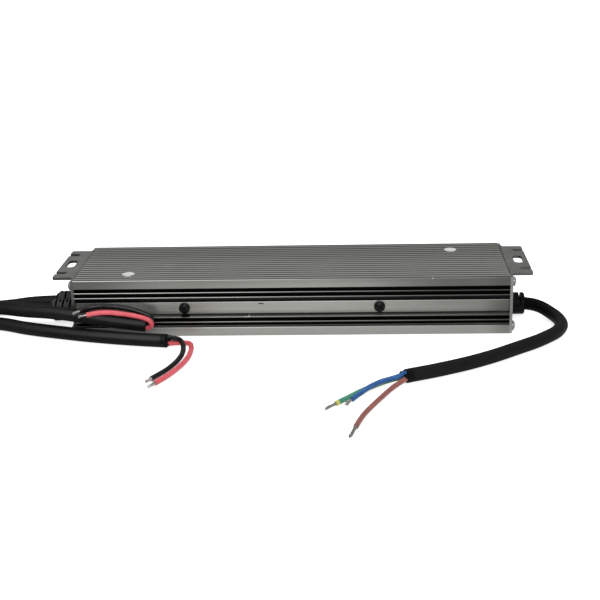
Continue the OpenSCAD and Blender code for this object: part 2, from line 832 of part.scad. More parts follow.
module insulation_pads() {
    color("lightgray") at_side_screws() difference() {
        translate([-bar_len / 2, -cav_half, power_z - side_screw_z])
            cube([bar_len, pad_sheet_t, power_h]);
        rotate([90, 0, 0]) cylinder(h = half_w, r = port_r);
    }
}

module clamp_bars() {
    color("silver") at_side_screws() difference() {
        translate([-bar_len / 2, -bar_y, -bar_h / 2]) cube([bar_len, bar_t, bar_h]);
        rotate([90, 0, 0]) cylinder(h = half_w, r = port_r);
    }
}

output_ring_d = 0.73 * room;
output_ring = [output_ring_d, output_ring_d / 2, output_ring_w];
output_ring_at = [row_x(8), 0, board_top + output_ring_d / 2 + wound_fit + output_ring_wall];

module output_choke_core() {
    color("gold") translate(output_ring_at)
        ring_core(output_ring[0], output_ring[1], output_ring[2]);
}

module output_choke_winding() {
    color("peru") translate(output_ring_at)
        ring_winding(output_ring[0], output_ring[1], output_ring[2], output_ring_wall,
            [[-150, 300]]);
}

module control_board() {
    size = [main_len, control_t, 0.64 * room];
    chip = [0.18 * main_len, control_t, 0.18 * room];
    translate([main_at[0] - main_len / 2, 0.7 * board_half_w, board_top]) {
        color("darkgreen") cube(size);
        color("black") for (x = [0.2, 0.6]) translate([x * size[0], control_t, 0.35 * size[2]])
            cube(chip);
    }
}

// Cables: a tube swept along a path of points
function path_dir(path, i) =
    unit(path[min(i + 1, len(path) - 1)] - path[max(i - 1, 0)]);
function end_side(path, up) = unit(cross(path_dir(path, len(path) - 1), up));
function on_end(path, a, b) =
    let (last = len(path) - 1, side = end_side(path, [0, 0, 1]))
    path[last] + a * side + b * cross(side, path_dir(path, last));

module tube(path, d, sides, start, up) {
    n = len(path);
    dirs = [for (i = [0:n - 1]) i == 0 ? start : path_dir(path, i)];
    points = [for (i = [0:n - 1], j = [0:sides - 1])
        let (side = unit(cross(dirs[i], up)), other = cross(side, dirs[i]), a = 360 * j / sides)
        path[i] + d / 2 * (cos(a) * side + sin(a) * other)];
    walls = [for (i = [0:n - 2], j = [0:sides - 1])
        let (k = (j + 1) % sides, a = i * sides + j, b = i * sides + k)
        each [[a, b, b + sides], [a, b + sides, a + sides]]];
    first_cap = [for (j = [0:sides - 1]) sides - 1 - j];
    last_cap = [for (j = [0:sides - 1]) (n - 1) * sides + j];
    polyhedron(points, concat([first_cap], walls, [last_cap]));
}

module bare_end(path) {
    last = len(path) - 1;
    rod(path[last], path[last] + bare_len * path_dir(path, last), bare_d / 2, 0.4 * bare_d);
}

flat_up = [0, 0, 1];
side_up = [0, 1, 0];
input_dir = path_dir(input_path, len(input_path) - 1);
a_dir = path_dir(cable_a_path, len(cable_a_path) - 1);
b_dir = path_dir(cable_b_path, len(cable_b_path) - 1);
blue = concat([on_end(input_path, 0.5, 1.5)], blue_path);
earth = concat([on_end(input_path, 1.1, -1.2)], earth_path);
brown = concat([on_end(input_path, -1.6, -0.2)], brown_path);
a_black = concat([on_end(cable_a_path, -0.8, 1.4)], a_black_path);
a_red = concat([on_end(cable_a_path, 0.8, -1.4)], a_red_path);
b_black = concat([on_end(cable_b_path, -1.2, 0.9)], b_black_path);
b_red = concat([on_end(cable_b_path, 1.2, -0.9)], b_red_path);

module input_cable() {
    color(jacket) tube(input_path, input_cable_d, 12, [1, 0, 0], flat_up);
}

module input_core_brown() {
    color("rosybrown") tube(brown, input_core_d, 8, input_dir, flat_up);
}

module input_core_blue() {
    color("steelblue") tube(blue, input_core_d, 8, input_dir, flat_up);
}

module input_core_earth() {
    color("seagreen") tube(earth, input_core_d, 8, input_dir, flat_up);
}

module input_bare_ends() {
    color(steel) for (path = [brown, blue, earth]) bare_end(path);
}

module output_cable_a() {
    color(jacket) tube(cable_a_path, output_cable_d, 12, [-1, 0, 0], flat_up);
}

module output_a_core_red() {
    color(red_core) tube(a_red, output_core_d, 8, a_dir, flat_up);
}

module output_a_core_black() {
    color(black_core) tube(a_black, output_core_d, 8, a_dir, flat_up);
}

module output_a_bare_ends() {
    color(steel) for (path = [a_red, a_black]) bare_end(path);
}

module output_cable_b() {
    color(jacket) tube(cable_b_path, output_cable_d, 12, [-1, 0, 0], flat_up);
}

module output_b_core_red() {
    color(red_core) tube(b_red, output_core_d, 8, b_dir, side_up);
}

module output_b_core_black() {
    color(black_core) tube(b_black, output_core_d, 8, b_dir, side_up);
}

module output_b_bare_ends() {
    color(steel) for (path = [b_red, b_black]) bare_end(path);
}

housing();
input_end_plate();
output_end_plate();
input_end_screws();
output_end_screws();
side_clamp_screws();
filling_plugs();
input_end_seal();
output_end_seal();
input_strain_relief();
output_strain_relief_near();
output_strain_relief_far();
input_lead_tail();
input_lead_cores();
output_lead_cores();
output_lead_tails();
circuit_board();
insulation_sheet();
fuse();
surge_varistor();
filter_choke_core();
filter_choke_windings();
filter_capacitor();
bridge_rectifier();
boost_choke_core();
boost_choke_bobbin();
boost_choke_winding();
bulk_capacitors();
power_transistors();
output_rectifiers();
insulation_pads();
clamp_bars();
transformer_core();
transformer_bobbin();
transformer_winding();
output_choke_core();
output_choke_winding();
output_capacitors();
control_board();
input_cable();
input_core_brown();
input_core_blue();
input_core_earth();
input_bare_ends();
output_cable_a();
output_a_core_red();
output_a_core_black();
output_a_bare_ends();
output_cable_b();
output_b_core_red();
output_b_core_black();
output_b_bare_ends();
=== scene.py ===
"""Sealed power supply in a ribbed aluminium extrusion, lying with its mounting face up."""

import math

import bpy
from mathutils import Matrix, Vector
from mathutils.geometry import interpolate_bezier


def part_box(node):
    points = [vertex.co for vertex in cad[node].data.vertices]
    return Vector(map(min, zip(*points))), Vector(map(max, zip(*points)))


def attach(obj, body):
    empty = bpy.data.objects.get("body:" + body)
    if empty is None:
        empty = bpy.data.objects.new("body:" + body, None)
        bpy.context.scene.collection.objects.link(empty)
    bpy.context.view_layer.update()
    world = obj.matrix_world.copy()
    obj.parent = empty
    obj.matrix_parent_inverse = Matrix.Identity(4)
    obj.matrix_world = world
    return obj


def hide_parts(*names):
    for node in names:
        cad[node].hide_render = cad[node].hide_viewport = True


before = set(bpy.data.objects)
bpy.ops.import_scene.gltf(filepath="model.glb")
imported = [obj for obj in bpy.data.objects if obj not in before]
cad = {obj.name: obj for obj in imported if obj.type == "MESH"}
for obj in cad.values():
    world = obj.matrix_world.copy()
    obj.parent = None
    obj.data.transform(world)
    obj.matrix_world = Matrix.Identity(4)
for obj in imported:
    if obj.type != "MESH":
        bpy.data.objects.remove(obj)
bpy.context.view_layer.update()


# The camera stands in front of the long side, a little above it and a little to the
# right, and is tipped by a degree and a half.
view_turn = math.radians(-2.98173)
view_drop = math.radians(18.57182)
view_roll = math.radians(-1.49557)
camera_data = bpy.data.cameras.new("camera")
camera_data.sensor_width = 36
camera_data.lens = 72.277
camera_data.clip_start = 0.05
camera = bpy.data.objects.new("camera", camera_data)
camera.location = (0.03827455, -0.66550306, 0.23334475)
camera.rotation_euler = (
    Matrix.Rotation(-view_turn, 3, "Z")
    @ Matrix.Rotation(math.pi / 2 - view_drop, 3, "X")
    @ Matrix.Rotation(view_roll, 3, "Z")
).to_euler()
bpy.context.collection.objects.link(camera)
bpy.context.scene.camera = camera
bpy.context.scene.view_settings.view_transform = "Standard"


# The table top is matt white paper that runs on behind as a backdrop. It is seen as pure
# white and keeps the soft shadow under the housing and the cables.
class Wire:
    """A value that changes over a surface. Sums and products of wires add Math nodes."""

    def __init__(self, socket):
        self.socket = socket

    def node(self, kind, settings, sockets, out=0):
        tree = self.socket.id_data
        made = tree.nodes.new("ShaderNode" + kind)
        for name, value in settings.items():
            setattr(made, name, value)
        for name, value in sockets.items():
            if isinstance(value, Wire):
                tree.links.new(value.socket, made.inputs[name])
            else:
                made.inputs[name].default_value = value
        return Wire(made.outputs[out])

    def math(self, operation, *values):
        return self.node("Math", {"operation": operation}, dict(enumerate(values)))

    def __add__(self, other):
        return self.math("ADD", self, other)

    def __sub__(self, other):
        return self.math("SUBTRACT", self, other)

    def __rsub__(self, other):
        return self.math("SUBTRACT", other, self)

    def __mul__(self, other):
        return self.math("MULTIPLY", self, other)

    def __abs__(self):
        return self.math("ABSOLUTE", self)

    def __lt__(self, other):
        return self.math("LESS_THAN", self, other)

    def __gt__(self, other):
        return self.math("GREATER_THAN", self, other)

    __radd__ = __add__
    __rmul__ = __mul__

    def axis(self, letter):
        return self.node("SeparateXYZ", {}, {0: self}, "XYZ".index(letter))

    def ramp(self, low, high, start=0.0, end=1.0):
        smooth = {"interpolation_type": "SMOOTHSTEP"}
        return self.node("MapRange", smooth, {0: self, 1: low, 2: high, 3: start, 4: end})

    def waves(self, pitch):
        return self.math("SINE", self * (2 * math.pi / pitch)).ramp(-1, 1)

    def away_from(self, spot):
        return self.node("VectorMath", {"operation": "DISTANCE"}, {0: self, 1: spot}, 1)

    def noise(self, stretch, detail=3.0, rough=0.5):
        spread = self.node("Mapping", {}, {"Vector": self, "Scale": stretch})
        return self.node("TexNoise", {}, {"Vector": spread, "Scale": 1.0, "Detail": detail,
                                          "Roughness": rough})

    def blend(self, under, over):
        under, over = ((*c, 1) if isinstance(c, tuple) else c for c in (under, over))
        return self.node("Mix", {"data_type": "RGBA"}, {0: self, 6: under, 7: over}, 2)

    def into(self, shader, socket):
        self.socket.id_data.links.new(self.socket, shader.inputs[socket])


paper = bpy.data.materials.new("white_paper")
paper.use_nodes = True
paper_shader = paper.node_tree.nodes["Principled BSDF"]
paper_shader.inputs["Roughness"].default_value = 0.9
paper_place = Wire(paper.node_tree.nodes.new("ShaderNodeTexCoord").outputs["Object"])
paper_ray = paper.node_tree.nodes.new("ShaderNodeLightPath")
paper_seen = Wire(paper_ray.outputs["Is Camera Ray"])
paper_seen = paper_seen + Wire(paper_ray.outputs["Is Transmission Ray"])
# For gloss the paper glows in a painted pool of light, bright along the part's middle lines and
# dark towards its corners.
paper_pool = abs(paper_place.axis("X") - 0.005) * abs(paper_place.axis("Y"))
paper_pool = paper_pool.ramp(0.0015, 0.0105, 0.75, 0.0)
paper_seen = paper_seen + Wire(paper_ray.outputs["Is Glossy Ray"]) * paper_pool
paper_fibre = paper_place.noise((900, 900, 900))
paper_fibre.blend((0.86, 0.86, 0.86), (0.9, 0.9, 0.9)).into(paper_shader, "Base Color")
paper_shader.inputs["Emission Strength"].default_value = 1
(paper_seen * 0.7).into(paper_shader, "Emission Color")

bpy.ops.object.select_all(action="DESELECT")
bpy.ops.mesh.primitive_plane_add(size=12, location=(0, 0, -0.0002))
paper_sheet = bpy.context.object
paper_sheet.name = "paper_floor"
paper_sheet.data.materials.append(paper)

world = bpy.data.worlds.new("studio")
bpy.context.scene.world = world
world.use_nodes = True
studio = world.node_tree.nodes["Background"]
studio_ray = world.node_tree.nodes.new("ShaderNodeLightPath")
studio_seen = Wire(studio_ray.outputs["Is Camera Ray"])
studio_seen = studio_seen + Wire(studio_ray.outputs["Is Transmission Ray"])
studio_seen.ramp(0, 1, 0.4, 1.0).into(studio, "Color")

for lamp_name, spot, aim, wide, power in (
    ("front_box", (0.05, -1.15, 0.75), (0, 0, 0), 0.7, 9),
    ("top_box", (-0.2, 0.3, 1.3), (0, 0, 0), 0.9, 7),
):
    lamp_data = bpy.data.lights.new(lamp_name, "AREA")
    lamp_data.size = wide
    lamp_data.energy = power
    lamp = bpy.data.objects.new(lamp_name, lamp_data)
    lamp.location = spot
    lamp.rotation_euler = (Vector(aim) - Vector(spot)).to_track_quat("-Z", "Y").to_euler()
    bpy.context.collection.objects.link(lamp)


# The extrusion is aluminium, pushed through a die and cut to length, so that fine die
# lines run along it. Painted shade darkens its grooves, fin undersides, rib roots, the foot
# of the pad and parts of its bands, and painted highlights and painted light brighten its
# top front edge, the pad's top edge, fins, ledge and foot band. The front has a dash, a
# hooked scratch, a nick and a painted shadow under one screw.
def relief(height, shader, depth):
    """Raises and sinks the surface by height, over depth in metres."""
    height.node("Bump", {}, {"Height": height, "Distance": depth}).into(shader, "Normal")


def coat(name, low, high, roughness, metallic=0.0, grain=500, depth=0.00003, along=1.0):
    """A finish in two shades with a fine grain, which may be drawn out along X."""
    made = bpy.data.materials.new(name)
    made.use_nodes = True
    shader = made.node_tree.nodes["Principled BSDF"]
    shader.inputs["Metallic"].default_value = metallic
    place = Wire(made.node_tree.nodes.new("ShaderNodeTexCoord").outputs["Object"])
    fine = place.noise((grain / along, grain, grain))
    cloud = place.noise((grain / 8 / along**0.5, grain / 8, grain / 8), 4)
    shade = (fine * 0.4 + cloud * 0.6).ramp(0.32, 0.68).blend(low, high)
    shade.into(shader, "Base Color")
    (fine * 0.1 + cloud * 0.2 + (roughness - 0.15)).into(shader, "Roughness")
    relief(fine, shader, depth)
    return made, shader, place, shade


def finish_node(finish, *names):
    """Gives CAD nodes a finish in place of their plain colour."""
    for name in names:
        for slot in cad[name].material_slots:
            slot.material = finish


aluminium, shader, place, shade = coat(
    "extruded_aluminium", (0.22, 0.225, 0.207), (0.29, 0.295, 0.27),
    0.34, 0.68, 2600, 0.00006, 400)
along, across, up = place.axis("X"), abs(place.axis("Y")), place.axis("Z")
normal = place.node("TexCoord", {}, {}, 1)
side_plane, pad_plane, last_rib = 0.034, 0.031, 0.0332
foot_top, ledge_level, pad_high, fins_high, rib_root = 0.0053, 0.0115, 0.0191, 0.0270, 0.0325
fin_feet = (0.00813, 0.01098, 0.02253, 0.02538)

on_side = abs(normal.axis("Y")) > 0.5
on_pad = (across > pad_plane - 0.0005) * on_side
on_fin = (across > side_plane - 0.0005) * (up > foot_top) * (up < fins_high) * on_side
in_groove = (up < rib_root) * (up > 0.004) * (1 - on_pad)
# Painted shade: the grooves are darkened to near black by their depth.
groove_depth = (side_plane - across).ramp(0.0001, 0.0004)
groove_shade = (groove_depth * on_side + (1 - on_side)) * in_groove
# Painted shade along the underside of each fin.
fin_under_shade = sum(abs(up - foot) < 0.00014 for foot in fin_feet) * on_side
# Painted shade on the fins towards the input end, and a painted highlight on them towards the
# output end.
fin_input_shade = along.ramp(0.02, 0.09, 0.0, 0.5) * on_fin
fin_shine = along.ramp(-0.09, 0.03, 1.0, 0.0) * on_fin
# Painted light on the top of the ledge under the pad.
ledge_top_light = (abs(up - ledge_level) < 0.0002) * (normal.axis("Z") > 0.5) * in_groove
# Painted shade on the pad at its input end, by the end plate.
pad_end_shade = along.ramp(0.104, 0.119, 0.0, 0.6) * on_pad
# Painted highlight along the pad's top edge.
pad_edge_highlight = (abs(up - pad_high) < 0.00025) * on_pad
# Painted shade along the foot of the pad.
pad_foot_shade = up.ramp(0.0122, 0.0146, 0.4, 0.0) * on_pad
# Painted light lightens the foot band, with a painted highlight at its input end and along its
# top rim.
foot_band = (up < foot_top) * on_side
foot_end_highlight = foot_band * along.ramp(0.100, 0.119, 0.0, 0.7)
foot_rim_highlight = foot_band * (up > 0.0047) * along.ramp(-0.03, 0.04, 0.9, 0.25)
# Painted shade darkens the top band towards both ends and towards its top.
shoulder = (up > 0.0243) * (up < rib_root) * on_side
shoulder_end_shade = along.ramp(-0.118, -0.065, 0.7, 0.1) + along.ramp(0.04, 0.098, 0.0, 0.5)
shoulder_top_shade = up.ramp(0.0285, rib_root, 0.0, 0.3) * on_side
on_top = up.ramp(0.0312, 0.0322) * (across < last_rib)
# Painted shade darkens the top face towards the rear and at the roots of the ribs.
rear_rib_shade = place.axis("Y").ramp(-0.010, 0.022) * on_top
rib_foot_shade = up.ramp(0.0318, 0.0328, 1.0, 0.0) * (up > 0.0305) * (across < last_rib)
# Painted highlight along the top front edge, fading towards the input end.
edge_highlight = (across > last_rib) * (up > 0.0327) * along.ramp(-0.13, 0.07, 0.95, 0.0)
in_front = place.axis("Y") < -0.03


def front_mark(x, z, half_long, half_tall):
    """A small mark on the front, with a ragged outline."""
    ragged = place.noise((2500, 2500, 2500)) * 0.8 + 0.6
    return (abs(along - x) < ragged * half_long) * (abs(up - z) < ragged * half_tall) * in_front


dash = front_mark(-0.0166, 0.0180, 0.0015, 0.00035)
scratch = front_mark(-0.0233, 0.0118, 0.0005, 0.00045)
scratch_tail = front_mark(-0.0248, 0.0113, 0.0014, 0.00018)
# Painted shadow of the left side screw on the ledge below it.
screw_shadow = front_mark(-0.0590, 0.0116, 0.0024, 0.00035)
nick = front_mark(0.0786, 0.0326, 0.0003, 0.0003)
plug_halo = place.away_from((-0.0714, -0.0058, 0.033)).ramp(0.0025, 0.0045, 0.35, 0.0)
for mask, tint in (
    (on_top, (0.40, 0.40, 0.37)),
    (rear_rib_shade, (0.29, 0.29, 0.27)),
    (rib_foot_shade, (0.13, 0.13, 0.12)),
    (foot_band * 0.85, (0.46, 0.465, 0.435)),
    (foot_end_highlight, (0.80, 0.80, 0.76)),
    (foot_rim_highlight, (0.94, 0.94, 0.92)),
    (on_pad * 0.3, (0.38, 0.385, 0.355)),
    (shoulder_end_shade * shoulder, (0.05, 0.05, 0.046)),
    (fin_input_shade, (0.06, 0.06, 0.055)),
    (fin_shine, (0.71, 0.74, 0.70)),
    (pad_end_shade, (0.085, 0.08, 0.07)),
    (groove_shade, (0.006, 0.006, 0.006)),
    (ledge_top_light, (0.22, 0.22, 0.20)),
    (fin_under_shade, (0.02, 0.02, 0.018)),
    (pad_foot_shade, (0.10, 0.10, 0.09)),
    (shoulder_top_shade, (0.10, 0.10, 0.09)),
    (edge_highlight, (0.9, 0.91, 0.89)),
    (pad_edge_highlight * 0.5, (0.75, 0.76, 0.73)),
    (plug_halo, (0.45, 0.45, 0.42)),
    (dash, (0.03, 0.03, 0.028)),
    (scratch, (0.8, 0.8, 0.78)),
    (scratch_tail * 0.6, (0.7, 0.7, 0.68)),
    (screw_shadow, (0.012, 0.012, 0.011)),
    (nick * 0.7, (0.8, 0.8, 0.78)),
):
    shade = mask.blend(shade, tint)
shade.into(shader, "Base Color")
finish_node(aluminium, "housing")


# The end plates are folded from 1.5 mm steel sheet with a dull zinc finish. Their ears
# lie in the plane of the ribbed face. The sheared edges carry a painted highlight at the
# input end and painted shade at the output end, and the walls of the slots carry painted
# shade.
plate_zinc, shader, place, shade = coat(
    "dull_zinc_sheet", (0.15, 0.15, 0.143), (0.22, 0.22, 0.21), 0.42, 0.75, 380)
along, normal = place.axis("X"), place.node("TexCoord", {}, {}, 1)
ear_tip, plate_side, ear_root = 0.1341, 0.03375, 0.1235
sheared = (abs(along) > ear_tip) + (abs(place.axis("Y")) > plate_side)
# Painted highlight on the sheared edges at the input end, painted shade on them at the output
# end.
shine = along.ramp(-0.1, 0.1, 0.0, 0.5)
shaded = along.ramp(-0.1, -0.12, 0.0, 0.6)
shade = (sheared * shaded).blend(shade, (0.06, 0.06, 0.057))
# Painted shade on the slot walls that face the front.
slot_wall = (normal.axis("Y") < -0.5) * (abs(along) > ear_root)
slot_shade = along.ramp(-0.1, 0.1, 0.75, 0.4)
shade = (slot_wall * slot_shade).blend(shade, (0.012, 0.012, 0.012))
(sheared * shine).blend(shade, (0.42, 0.42, 0.405)).into(shader, "Base Color")
finish_node(plate_zinc, "input_end_plate", "output_end_plate")


# Zinc-plated pan-head screws hold the end plates in the screw ports. Inside, bars of the
# same steel clamp the power parts to the side wall with two blackened screws.
bright_steel = coat(
    "zinc_plated_steel", (0.09, 0.09, 0.087), (0.30, 0.30, 0.29), 0.36, 0.85, 900)[0]
finish_node(bright_steel, "input_end_screws", "output_end_screws", "clamp_bars")

black_steel, shader, place, shade = coat(
    "blackened_steel", (0.002, 0.002, 0.002), (0.007, 0.007, 0.007), 0.42, 0.0, 1400)
shader.inputs["Specular IOR Level"].default_value = 0.15
rubbed = place.noise((1400, 1400, 1400)).ramp(0.62, 0.74)
rubbed.blend(shade, (0.07, 0.07, 0.07)).into(shader, "Base Color")
finish_node(black_steel, "side_clamp_screws")


# Two silicone plugs close the filling holes in the ribbed face. They are pale, soft and
# smeared level with the ribs.
silicone = coat(
    "pale_silicone", (0.60, 0.60, 0.575), (0.75, 0.75, 0.72), 0.5, 0.0, 420, 0.0002)[0]
finish_node(silicone, "filling_plugs")


# The strain reliefs are moulded in black rubber round the cables and lock behind the
# plates. The skin is rubbed dull, a painted sheen lightens its upper side on the output
# side, and painted shade darkens the slots.
moulded, shader, place, shade = coat(
    "moulded_rubber", (0.003, 0.003, 0.0035), (0.008, 0.008, 0.009), 0.46, 0.0, 520, 0.00008)
shader.inputs["Specular IOR Level"].default_value = 0.05
along, across = place.axis("X"), place.axis("Y")
# Painted sheen on the upper side of the output reliefs.
relief_top_sheen = along.ramp(0.10, -0.10) * place.axis("Z").ramp(0.004, 0.012)
flat = place.node("VectorMath", {"operation": "MULTIPLY"}, {0: place, 1: (0, 1, 1)})
skin = sum(
    flat.away_from((0, middle, 0.0073)).ramp(0.0054, 0.0060) * (abs(across - middle) < 0.0068)
    for middle in (-0.0074, 0.0082))
# Painted shade in the slots of the output reliefs.
relief_slot_shade = (1 - skin) * (along < 0) * (along > -0.1365)
shade = relief_slot_shade.blend(shade, (0.0008, 0.0008, 0.0008))
(relief_top_sheen * skin * 0.85).blend(shade, (0.060, 0.060, 0.062)).into(shader, "Base Color")
finish_node(moulded, "input_strain_relief", "output_strain_relief_near",
            "output_strain_relief_far")


# The cables are round and jacketed in matt black rubber. Each is cut square, with its
# cores coming out of a shallow hollow in the end. The unseen bends lie beside the view.
def draw_line(name, route, thickness, sides):
    """A round curve through points in millimetres, and its centre line in metres."""
    line = bpy.data.curves.new(name, "CURVE")
    line.dimensions = "3D"
    line.resolution_u = 8
    line.bevel_depth = thickness / 2
    line.bevel_resolution = sides
    line.use_fill_caps = True
    run = line.splines.new("BEZIER")
    run.bezier_points.add(len(route) - 1)
    for knot, spot in zip(run.bezier_points, route):
        knot.co = Vector(spot) / 1000
        knot.handle_left_type = knot.handle_right_type = "AUTO"
    made = bpy.data.objects.new(name, line)
    bpy.context.collection.objects.link(made)
    bpy.context.view_layer.update()
    knots = run.bezier_points
    middle = [knots[0].co.copy()]
    for a, b in zip(knots, knots[1:]):
        middle += interpolate_bezier(a.co, a.handle_right, b.handle_left, b.co, 9)[1:]
    bpy.ops.object.select_all(action="DESELECT")
    bpy.context.view_layer.objects.active = made
    made.select_set(True)
    bpy.ops.object.convert(target="MESH")
    return made, middle


def hollow_end(piece, middle, thickness, wall, lip):
    """Swells the jacket's cut end over a short lip and sinks the end inside its wall."""
    swell, hollow = 1.05, 0.003
    inward = (middle[-2] - middle[-1]).normalized()
    for face in piece.data.polygons:
        near = (Vector(face.center) - middle[-1]).length < thickness / 4
        face.select = near and face.normal.dot(inward) < -0.8
    for edge in piece.data.edges:
        edge.select = False
    bpy.ops.object.mode_set(mode="EDIT")
    bpy.ops.mesh.select_mode(type="FACE")
    bpy.ops.transform.resize(value=(swell, swell, swell), center_override=middle[-1])
    bpy.ops.mesh.extrude_region_move(TRANSFORM_OT_translate={"value": -inward * lip})
    bpy.ops.mesh.inset(thickness=wall * 0.3)
    bpy.ops.transform.translate(value=-inward * wall * 0.2)
    bpy.ops.mesh.inset(thickness=wall * 0.7)
    bpy.ops.mesh.extrude_region_move(TRANSFORM_OT_translate={"value": inward * (lip + hollow)})
    bpy.ops.object.mode_set(mode="OBJECT")
    bpy.ops.object.shade_smooth_by_angle(angle=math.radians(50))


rubber, shader, place, shade = coat(
    "black_rubber_jacket", (0.005, 0.005, 0.0055), (0.010, 0.010, 0.011),
    0.58, 0.0, 900, 0.00006)
shader.inputs["Specular IOR Level"].default_value = 0.06
dust = place.noise((520, 520, 520), 2).ramp(0.73, 0.77)
shade = dust.blend(shade, (0.08, 0.08, 0.08))
along, lift = place.axis("X"), place.node("TexCoord", {}, {}, 1).axis("Z")
# Painted sheen along the upper side of the output cables.
jacket_top_sheen = lift.ramp(0.10, 0.52) * lift.ramp(0.95, 0.70) * along.ramp(-0.18, -0.08, 0.15, 1.0)
shade = (jacket_top_sheen * (along < -0.05)).blend(shade, (0.046, 0.046, 0.048))
shade = ((along > 0.05) * 0.5).blend(shade, (0.014, 0.014, 0.015))
# Painted shade on the input jacket near its strain relief.
jacket_relief_shade = place.away_from((0.1328, -0.0025, 0.0072)).ramp(0.012, 0.030, 0.9, 0.0)
shade = jacket_relief_shade.blend(shade, (0.0006, 0.0006, 0.0006))
cut_ends = sum(place.away_from(end) < 0.0048
               for end in ((0.0612, -0.1037, 0.0036), (-0.0673, -0.051, 0.00375)))
(cut_ends * 0.7).blend(shade, (0.003, 0.003, 0.003)).into(shader, "Base Color")
finish_node(rubber, "input_lead_tail", "output_lead_tails")

input_route = [(132.8, -2.5, 7.2), (139.8, -6.6, 7), (146.5, -13.8, 5.1), (150.4, -25, 3.7),
               (148.2, -36.6, 3.6), (138.2, -50.5, 3.6), (121, -66, 3.6), (101, -81.9, 3.6),
               (81, -94, 3.6), (61.2, -103.7, 3.6)]
input_jacket, input_line = draw_line("input_jacket", input_route, 0.0072, 8)
hollow_end(input_jacket, input_line, 0.0072, 0.0008, 0.0018)
input_jacket.data.materials.append(rubber)
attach(input_jacket, "root")
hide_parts("input_cable")

cable_a_route = [(-141.5, 8.2, 7.3), (-156, 8.2, 6.6), (-171, 8.2, 4.8), (-188, 8.6, 3.75),
                 (-206, 16, 3.75), (-228, 23, 3.75), (-248, 13, 3.75), (-256, -8, 3.75),
                 (-246, -29, 3.75), (-225, -37, 3.75), (-204, -27.5, 3.75), (-187, -18, 3.75),
                 (-168.5, -20.8, 3.75), (-150, -29.2, 3.75), (-130, -36.2, 3.75),
                 (-108, -42.8, 3.75), (-87, -47.6, 3.75), (-67.3, -51, 3.75)]
jacket_a, line_a = draw_line("output_jacket_a", cable_a_route, 0.0075, 8)
hollow_end(jacket_a, line_a, 0.0075, 0.0008, 0.0013)
jacket_a.data.materials.append(rubber)
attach(jacket_a, "root")
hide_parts("output_cable_a")

cable_b_route = [(-141.5, -7.4, 7.3), (-156, -7.4, 7.8), (-173, -7.2, 9.6), (-189, -3, 11.3),
                 (-200, 8, 11.4), (-213, 20, 11.4), (-236, 21.5, 11.4), (-253, 6, 11.4),
                 (-254, -17, 11.4), (-238.5, -34, 11.4), (-218, -36, 11.4), (-202.5, -26, 11.4),
                 (-185, -16, 11.6), (-170.5, -17, 12), (-152, -22.8, 12.1), (-136, -31.6, 14.1),
                 (-122.5, -38.2, 14.9), (-101, -38.4, 11.1), (-80.8, -38.4, 8.2)]
jacket_b, line_b = draw_line("output_jacket_b", cable_b_route, 0.0075, 8)
hollow_end(jacket_b, line_b, 0.0075, 0.0008, 0.0003)
jacket_b.data.materials.append(rubber)
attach(jacket_b, "root")
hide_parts("output_cable_b")


# The cores are stranded copper wires in soft coloured plastic, stripped at the end. The
# bare strands are tinned and lightly twisted, and fray at the tip. The earth core is
# green with a yellow stripe along the side turned from the light.
tinned, shader, place, shade = coat(
    "tinned_strands", (0.30, 0.29, 0.275), (0.85, 0.84, 0.82), 0.34, 0.7, 1100, 0.00004)
duller = place.axis("X").ramp(0.0, 0.02, 0.0, 0.6)
duller.blend(shade, (0.14, 0.135, 0.13)).into(shader, "Base Color")


def strip_end(name, middle, bare_long, bare_thick, twist, fray):
    """Nine strands, one in the middle, twisted round the last direction of a core."""
    overlap, steps = 0.0004, 6
    ahead = (middle[-1] - middle[-4]).normalized()
    side = ahead.cross(Vector((0, 0, 1))).normalized()
    over = side.cross(ahead)
    bundle = []
    for count in range(9):
        out = bare_thick * 0.34 if count else 0.0
        line = bpy.data.curves.new(name, "CURVE")
        line.dimensions = "3D"
        line.bevel_depth = bare_thick * 0.16
        line.bevel_resolution = 1
        line.resolution_u = 2
        line.use_fill_caps = True
        strand = line.splines.new("BEZIER")
        strand.bezier_points.add(steps)
        long = bare_long * (0.97 + 0.05 * math.sin(5 * count))
        for step, knot in enumerate(strand.bezier_points):
            share = step / steps
            turn = count * math.pi / 4 + twist * share
            wide = out * (1 - 0.2 * share) + fray * share**3 * (0.5 + 0.5 * math.sin(3 * count))
            knot.co = (middle[-1] + ahead * (long * share - overlap)
                       + side * wide * math.cos(turn) + over * wide * math.sin(turn))
            knot.handle_left_type = knot.handle_right_type = "AUTO"
        bundle.append(bpy.data.objects.new(name, line))
        bpy.context.collection.objects.link(bundle[-1])
    bpy.ops.object.select_all(action="DESELECT")
    for strand in bundle:
        strand.select_set(True)
    bpy.context.view_layer.objects.active = bundle[0]
    bpy.ops.object.convert(target="MESH")
    bpy.ops.object.join()
    made = bpy.context.object
    bpy.ops.object.shade_smooth()
    made.data.materials.append(tinned)
    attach(made, "root")
    return made


brown = coat("brown_core", (0.24, 0.078, 0.066), (0.36, 0.115, 0.095), 0.42, 0.0, 1400)[0]
blue = coat("blue_core", (0.012, 0.078, 0.26), (0.026, 0.130, 0.38), 0.42, 0.0, 1400)[0]
red = coat("red_core", (0.66, 0.080, 0.105), (0.80, 0.13, 0.155), 0.42, 0.0, 1400)[0]
black, shader = coat(
    "black_core", (0.003, 0.003, 0.0035), (0.007, 0.007, 0.008), 0.3, 0.0, 1400)[:2]
shader.inputs["Specular IOR Level"].default_value = 0.35
earth, shader, place, shade = coat(
    "earth_core", (0.040, 0.23, 0.130), (0.080, 0.34, 0.205), 0.42, 0.0, 1400)
normal = place.node("TexCoord", {}, {}, 1)
stripe = (normal.axis("Y") * 0.8 - normal.axis("Z") * 0.6) > 0.3
cut_rim = place.away_from((0.0265, -0.1324, 0.0013)) < 0.0021
yellow = (0.62, 0.60, 0.14)
cut_rim.blend(stripe.blend(shade, yellow), yellow).into(shader, "Base Color")

